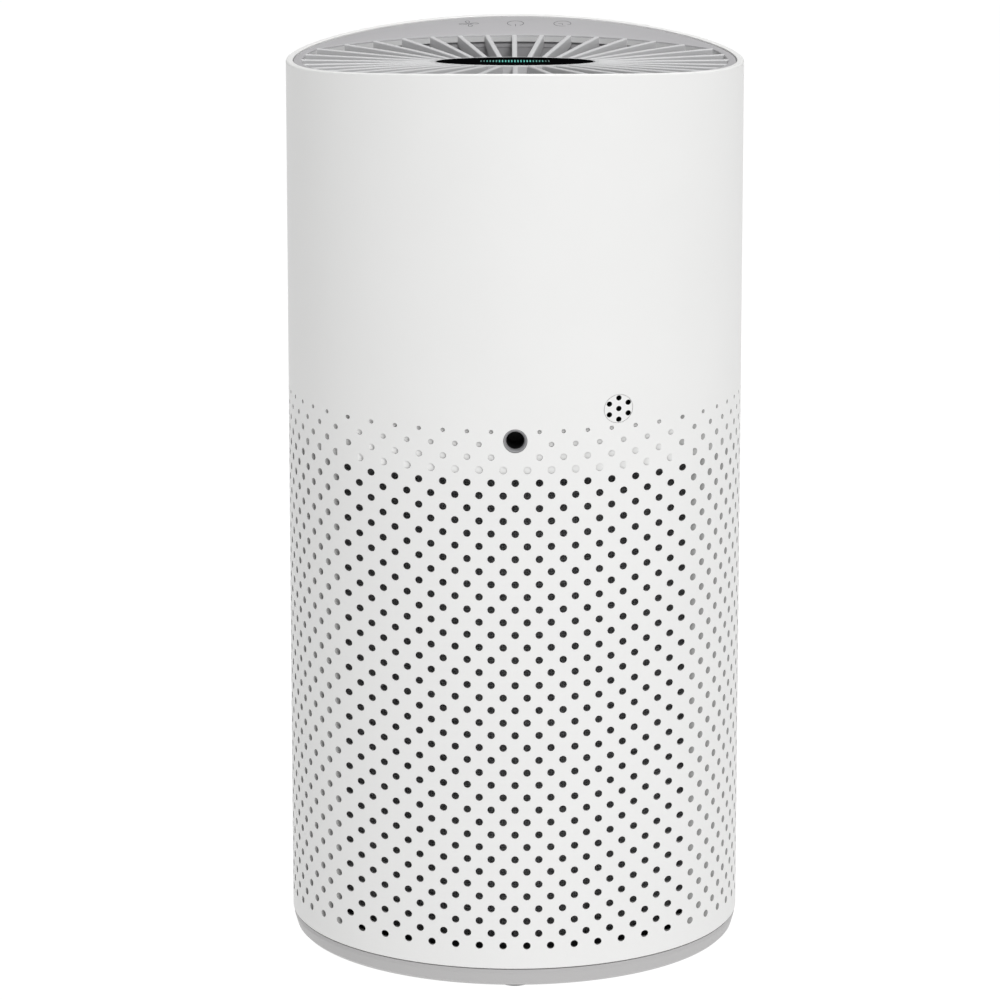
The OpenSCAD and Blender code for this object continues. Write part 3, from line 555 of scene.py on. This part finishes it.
def build_sensor_insert():
    """The round insert in the wall, with seven holes to the air sensor that widen towards the inside."""
    turn = Matrix.Rotation(math.pi / 2, 4, "X")
    wall = bmesh.new()
    low, high = sensor_lo.z - 2 * MM, sensor_hi.z + 2 * MM
    spin(wall, [(BORE_R, low), (BODY_R, low), (BODY_R, high), (BORE_R, high)], 240)
    plug = bmesh.new()
    bmesh.ops.create_cone(plug, cap_ends=True, segments=64, radius1=SENSOR_R, radius2=SENSOR_R, depth=60 * MM,
                          matrix=Matrix.Translation((SENSOR_X, -BODY_R, SENSOR_Z)) @ turn)
    disc = bmesh.new()
    disc.from_mesh(cut_mesh("sensor_disc", tidy(wall), plug, "INTERSECT"))
    holes = bmesh.new()
    turns = [k * math.pi / 3 for k in range(6)]
    places = [(SENSOR_HOLE_RING * math.sin(t), SENSOR_HOLE_RING * math.cos(t)) for t in turns]
    for dx, dz in [(0, 0)] + places:
        face = -math.sqrt(BODY_R ** 2 - (SENSOR_X + dx) ** 2)
        bmesh.ops.create_cone(holes, cap_ends=True, segments=24, radius1=SENSOR_HOLE_R - 0.3 * MM,
                              radius2=SENSOR_HOLE_R + 1.2 * MM, depth=6 * MM,
                              matrix=Matrix.Translation((SENSOR_X + dx, face + 1.8 * MM, SENSOR_Z + dz)) @
                              Matrix.Rotation(-math.pi / 2, 4, "X"))
    make_wall_piece(cut_mesh("sensor_disc_drilled", disc, holes), "sensor_disc_drilled", "sensor_insert")


def build_socket_ring():
    """The socket's ring, with a deep bevel that leads a plug in."""
    bm = bmesh.new()
    # radius and depth behind the shell's face, in millimetres
    face = [(SOCKET_BORE_R, 2.3), (SOCKET_BORE_R, 1.25), (BEZEL_R - 0.28 * MM, 0.12),
            (BEZEL_R - 0.18 * MM, 0.06), (BEZEL_R - 0.06 * MM, 0.12), (BEZEL_R, 0.3), (BEZEL_R, 2.3)]
    verts = [bm.verts.new((r, -BODY_R + depth * MM, JACK_Z)) for r, depth in face]
    edges = [bm.edges.new((a, b)) for a, b in zip(verts, verts[1:] + verts[:1])]
    bmesh.ops.spin(bm, geom=verts + edges, cent=(0, 0, JACK_Z), axis=(0, 1, 0), angle=2 * math.pi, steps=72,
                   use_merge=True)
    make_piece(tidy(bm), "socket_ring", socket_abs, replaces=["jack_bezel"])


build_sensor_insert()
build_socket_ring()

# ---------------------------------------------------------------- control ring


def build_control_ring():
    """The grey crescent: wide and flat at the user side, a narrow lip at the rear."""
    edge = 0.35 * MM
    soft = 0.5 * MM
    # share of the width, shift in radius, drop below the top surface
    section = [(0, soft, RING_T), (0, soft, soft), (0, 0, soft), (0, soft * 0.3, soft * 0.3), (0, soft, 0),
               (0.35, 0, 0), (0.7, 0, 0),
               (1, -edge, 0), (1, -edge * 0.3, edge * 0.3), (1, 0, edge), (1, 0, RING_T)]

    def place(point, a):
        share, shift, drop = point
        s = slot_r(a)
        r = s + share * (RING_R - s) + shift
        return Vector((r * math.cos(a), r * math.sin(a), top_z(r, a) - drop))

    make_piece(swept_ring(section, place), "control_ring_crescent", ring_abs,
               replaces=["control_ring"])


build_control_ring()

# ---------------------------------------------------------------- touch symbols

STROKE = 0.3 * MM
SYMBOL_Y = 68.7 * MM
FAN_SIGN_X = -16.6 * MM
POWER_SIGN_X = 0.4 * MM
TIMER_SIGN_X = 17.5 * MM


def add_stroke(bm, centre_x, path):
    """A printed line along a path of (right, up) millimetres, as the user at +Y reads it."""
    spots = [Vector((centre_x - u * MM, SYMBOL_Y - v * MM)) for u, v in path]
    made = bmesh.ops.create_grid(bm, x_segments=len(path) - 1, y_segments=1, size=1)["verts"]
    made.sort(key=lambda v: (round(v.co.x, 5), v.co.y))
    for i, spot in enumerate(spots):
        ahead = spots[min(i + 1, len(spots) - 1)] - spots[max(i - 1, 0)]
        side = Vector((-ahead.y, ahead.x)).normalized() * STROKE / 2
        for vert, edge in zip(made[2 * i:2 * i + 2], (-1, 1)):
            x, y = spot + side * edge
            vert.co = Vector((x, y, top_z(math.hypot(x, y), math.atan2(y, x)) + 0.03 * MM))


def bow(centre, radius, start_deg, end_deg, count=16):
    """Points of an arc, as (right, up) millimetres."""
    turns = [math.radians(start_deg + (end_deg - start_deg) * i / count) for i in range(count + 1)]
    return [(centre[0] + radius * math.cos(t), centre[1] + radius * math.sin(t)) for t in turns]


def build_symbols():
    """Fan, power and timer signs, printed on the wide side of the ring."""
    bm = bmesh.new()
    petal = [(0.35, 0), (1.3, 0.75), (2.5, 1.05), (3.4, 0.55), (3.6, -0.15), (3.0, -0.5), (1.8, -0.4),
             (0.35, 0)]
    for k in range(4):
        turn = math.radians(90 * k + 8)
        c, s = math.cos(turn), math.sin(turn)
        add_stroke(bm, FAN_SIGN_X, [(u * c - v * s, u * s + v * c) for u, v in petal])
    add_stroke(bm, POWER_SIGN_X, bow((0, -0.9), 2.95, 122, 418, 28))
    add_stroke(bm, POWER_SIGN_X, [(0, 0.1), (0, 1.2), (0, 2.5)])
    add_stroke(bm, TIMER_SIGN_X, bow((0, -0.2), 3.1, -205, 110, 30))
    add_stroke(bm, TIMER_SIGN_X, [(-2.81, 1.11), (-2.1, 1.35), (-1.75, 1.3)])
    add_stroke(bm, TIMER_SIGN_X, [(0, 1.5), (0, 0.6), (0, -0.2), (1.5, -0.2)])
    piece = make_piece(bm, "touch_symbols", symbol_ink, smooth_deg=None)
    thick = piece.modifiers.new("ink", "SOLIDIFY")
    thick.thickness = 0.06 * MM


build_symbols()

# ---------------------------------------------------------------- outlet grille

FIN_ROUND = 0.45 * MM
FIN_DEPTH = 8 * MM
END_DEPTH = 3.4 * MM
HUB_DEPTH = 14.5 * MM
HUB_FLOOR_DEPTH = 10 * MM


def add_fin(bm, a):
    """One fin at angle a: a thin plate with a rounded crest, from the hub to the slot's end."""
    inner = HUB_R - 0.9 * MM
    outer = slot_r(a) + 0.5 * MM
    length = outer - inner
    verts = bmesh.ops.create_cube(bm, size=1)["verts"]
    bmesh.ops.scale(bm, verts=verts, vec=(length, FIN_T, FIN_DEPTH))
    crest = [e for e in {e for v in verts for e in v.link_edges}
             if all(v.co.z > 0 for v in e.verts) and abs(e.verts[0].co.x - e.verts[1].co.x) > length / 2]
    made = bmesh.ops.bevel(bm, geom=crest, offset=FIN_ROUND, offset_type="OFFSET", affect="EDGES", segments=3,
                           profile=0.5, material=-1, clamp_overlap=True)
    fin = set(made["verts"]) | {v for v in verts if v.is_valid}
    turn = Matrix.Rotation(a, 3, "Z")
    for v in fin:
        share = v.co.x / length + 0.5
        r = inner + share * length
        depth = (FIN_DEPTH / 2 - v.co.z) / FIN_DEPTH
        low = FIN_DEPTH * (1 - share) + END_DEPTH * share
        drop = depth * FIN_DEPTH if depth < 0.3 else low
        hub_z, end_z = top_z(HUB_R, a), top_z(slot_r(a), a)
        crest_z = hub_z + (r - HUB_R) / (slot_r(a) - HUB_R) * (end_z - hub_z)
        if r > slot_r(a):
            crest_z = end_z - 0.02 * MM
        v.co = turn @ Vector((r, v.co.y, 0)) + Vector((0, 0, crest_z - drop))


def build_grille():
    """The outlet's fins, its hub, the lip round the slots and the ledge that the control ring sits on."""
    bm = bmesh.new()
    for i in range(FIN_COUNT):
        add_fin(bm, math.pi / 2 + i * 2 * math.pi / FIN_COUNT)
    make_piece(tidy(bm), "grille_fins", fin_abs, replaces=["outlet_fins"])

    hub = bmesh.new()
    outline = [(HUB_BORE, -HUB_DEPTH), (HUB_R, -HUB_DEPTH)]
    outline += arc(HUB_R - 0.4 * MM, -0.4 * MM, 0.4 * MM, 0, 90, 3)
    outline += arc(HUB_BORE + 0.25 * MM, -0.25 * MM, 0.25 * MM, 90, 180, 2)
    spin(hub, outline, 180)
    for v in hub.verts:
        v.co.z += plane_z(v.co.y) if v.co.z > -5 * MM else DISPLAY_Z - 2.8 * MM
    floor = bmesh.ops.create_cone(hub, cap_ends=True, segments=120, radius1=HUB_BORE + 0.6 * MM,
                                  radius2=HUB_BORE + 0.6 * MM, depth=2 * MM,
                                  matrix=Matrix.Translation((0, 0, -HUB_FLOOR_DEPTH)))["verts"]
    for v in floor:
        v.co.z += plane_z(v.co.y)
    make_piece(tidy(hub), "grille_hub", fin_abs, replaces=["outlet_hub"])

    def ledge_place(point, a):
        shift, drop = point
        r = min(slot_r(a) + shift * MM, RING_R)
        return Vector((r * math.cos(a), r * math.sin(a), top_z(slot_r(a), a) - RING_T - drop * MM))

    # shift out from the slot's end and drop below the control ring, in millimetres
    lip = [(0.02, -1.85), (0.42, -1.85), (0.42, 0.08), (0.02, 0.08)]
    ledge = [(1.3, 0.12), (2.2, 0.12), (2.2, 2.1), (0.2, 2.1), (0.2, 0.9), (1.3, 0.9)]
    # the lip's lighter grey is painted light on the slots' end wall
    make_piece(swept_ring(lip, ledge_place), "grille_lip", painted_light_lip_abs)
    make_piece(swept_ring(ledge, ledge_place), "grille_ledge", duct_pp,
               replaces=["outlet_ledge"])


build_grille()

# ---------------------------------------------------------------- display

BAR_COUNT = 23
BAR_STEP = 1.085 * MM
BAR_W = 0.44 * MM
BAR_LENGTH = 14 * MM
WINDOW_R = DISPLAY_R * 0.99
WINDOW_T = 2 * MM
WINDOW_ROUND = 0.35 * MM


def on_display(v):
    """Moves a vertex drawn flat at height zero onto the display's tilted face."""
    v.co = Matrix.Rotation(-TILT, 3, "X") @ v.co + Vector((0, 0, DISPLAY_Z))


def build_display():
    """The black window, and the row of teal bars that shine through it."""
    bm = bmesh.new()
    rim = arc(WINDOW_R - WINDOW_ROUND, -WINDOW_ROUND, WINDOW_ROUND, 90, 0, 4)
    outline = [(0, 0)] + rim + [(WINDOW_R, -WINDOW_T), (0, -WINDOW_T)]
    spin(bm, outline, 180)
    for v in bm.verts:
        on_display(v)
    make_piece(tidy(bm), "display_window", window_pmma, replaces=["display_lens"])
    groups = {"bright": (teal_bright, []), "mid": (teal_mid, []), "dim": (teal_dim, [])}
    middle = (BAR_COUNT - 1) / 2
    for i in range(BAR_COUNT):
        off = abs(i - middle)
        level = "bright" if off <= 5 else "mid" if off <= 9 else "dim"
        groups[level][1].append((i - middle, 0.65 + 0.35 * math.exp(-(off / 8) ** 2)))
    for level, (material, bars) in groups.items():
        bm = bmesh.new()
        for place, share in bars:
            length = BAR_LENGTH * share
            verts = bmesh.ops.create_cube(bm, size=1)["verts"]
            bmesh.ops.scale(bm, verts=verts, vec=(BAR_W, length, 0.04 * MM))
            bmesh.ops.translate(bm, verts=verts, vec=(place * BAR_STEP, 0, 0.01 * MM))
            sides = [e for e in {e for v in verts for e in v.link_edges}
                     if abs(e.verts[0].co.z - e.verts[1].co.z) > 0.02 * MM]
            bmesh.ops.bevel(bm, geom=sides, offset=BAR_W * 0.3, affect="EDGES", segments=3, profile=0.5,
                            material=-1)
        for v in bm.verts:
            on_display(v)
        make_piece(tidy(bm, 0.0001 * MM), "light_bars_" + level, material)


build_display()

# ---------------------------------------------------------------- carried-over CAD nodes

NODE_MATERIALS = {
    "base_cover": base_abs, "rubber_feet": foot_rubber, "control_ring": ring_abs, "outlet_fins": fin_abs,
    "outlet_hub": fin_abs, "outlet_ledge": duct_pp, "display_lens": window_pmma, "light_baffle": lamp_white,
    "status_leds": teal_dim, "display_board": board_mask,
    "jack_bezel": socket_abs, "dc_jack": socket_nylon, "sensor_insert": white_abs,
    "sensor_module": socket_nylon,
    "pleated_media": paper_hepa, "mesh_sleeve": sleeve_nylon, "carbon_core": carbon_foam,
    "filter_top_cap": filter_pp, "filter_bottom_cap": filter_pp, "filter_seal": seal_foam,
    "pull_tab": tab_webbing, "fan_deck": duct_pp, "inlet_guard": duct_pp, "fan_housing": duct_pp,
    "diffuser_liner": duct_pp, "diffuser_vanes": duct_pp, "motor_cup": duct_pp, "outlet_duct": duct_pp,
    "tail_cone": duct_pp, "impeller_plate": fan_nylon, "impeller_blades": fan_nylon,
    "impeller_shroud": fan_nylon,
    "rotor_can": steel_can, "rotor_magnet": magnet_ferrite, "motor_shaft": steel_zinc,
    "retaining_ring": steel_zinc, "lower_bearing": steel_zinc, "upper_bearing": steel_zinc,
    "motor_stator": copper_wound, "motor_base": alloy_cast, "isolator_bushes": foot_rubber,
    "motor_screws": steel_zinc, "deck_screws": steel_zinc, "flange_screws": steel_zinc,
    "main_board": board_mask, "board_parts": part_epoxy, "board_screws": steel_zinc,
    "touch_board": board_mask, "touch_springs": steel_zinc, "touch_lead": lead_pvc, "outer_shell": white_abs,
}

for name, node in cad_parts.items():
    node.data.materials.clear()
    node.data.materials.append(NODE_MATERIALS[name])

# ---------------------------------------------------------------- floor and light


def add_area(name, energy, size, where, target):
    """A square softbox at `where`, aimed at `target`."""
    data = bpy.data.lights.new(name, "AREA")
    data.energy = energy
    data.size = size
    lamp = bpy.data.objects.new(name, data)
    lamp.location = where
    lamp.rotation_euler = (Vector(target) - Vector(where)).to_track_quat("-Z", "Y").to_euler()
    scene.collection.objects.link(lamp)


def add_stage():
    """A plain pale floor, an even sky and soft studio light."""
    bm = bmesh.new()
    bmesh.ops.create_grid(bm, x_segments=1, y_segments=1, size=6)
    mesh = bpy.data.meshes.new("floor")
    bm.to_mesh(mesh)
    bm.free()
    floor = bpy.data.objects.new("floor", mesh)
    scene.collection.objects.link(floor)
    paint, tree, surface, place = start_material("floor_paint_matt", Base_Color=colour("#383838"),
                                                 Roughness=0.9)
    surface.inputs["Specular IOR Level"].default_value = 0.1
    surface.inputs["Emission Color"].default_value = (1, 1, 1, 1)
    surface.inputs["Emission Strength"].default_value = 1.0
    mesh.materials.append(paint)
    world = bpy.data.worlds.new("studio")
    world.use_nodes = True
    world.node_tree.nodes["Background"].inputs["Color"].default_value = (1, 1, 1, 1)
    world.node_tree.nodes["Background"].inputs["Strength"].default_value = 0.27
    scene.world = world
    add_area("key_softbox", 48, 1.1, (0.7, -2.65, 2.25), (0, 0, 0.16))
    add_area("right_softbox", 2, 1.2, (2.4, 0.2, 0.9), (0, 0, 0.16))
    add_area("top_softbox", 26, 1.2, (0.1, 0.1, 2.3), (0, 0, 0.3))


add_stage()
scene.view_settings.view_transform = "Standard"
scene.view_settings.look = "None"
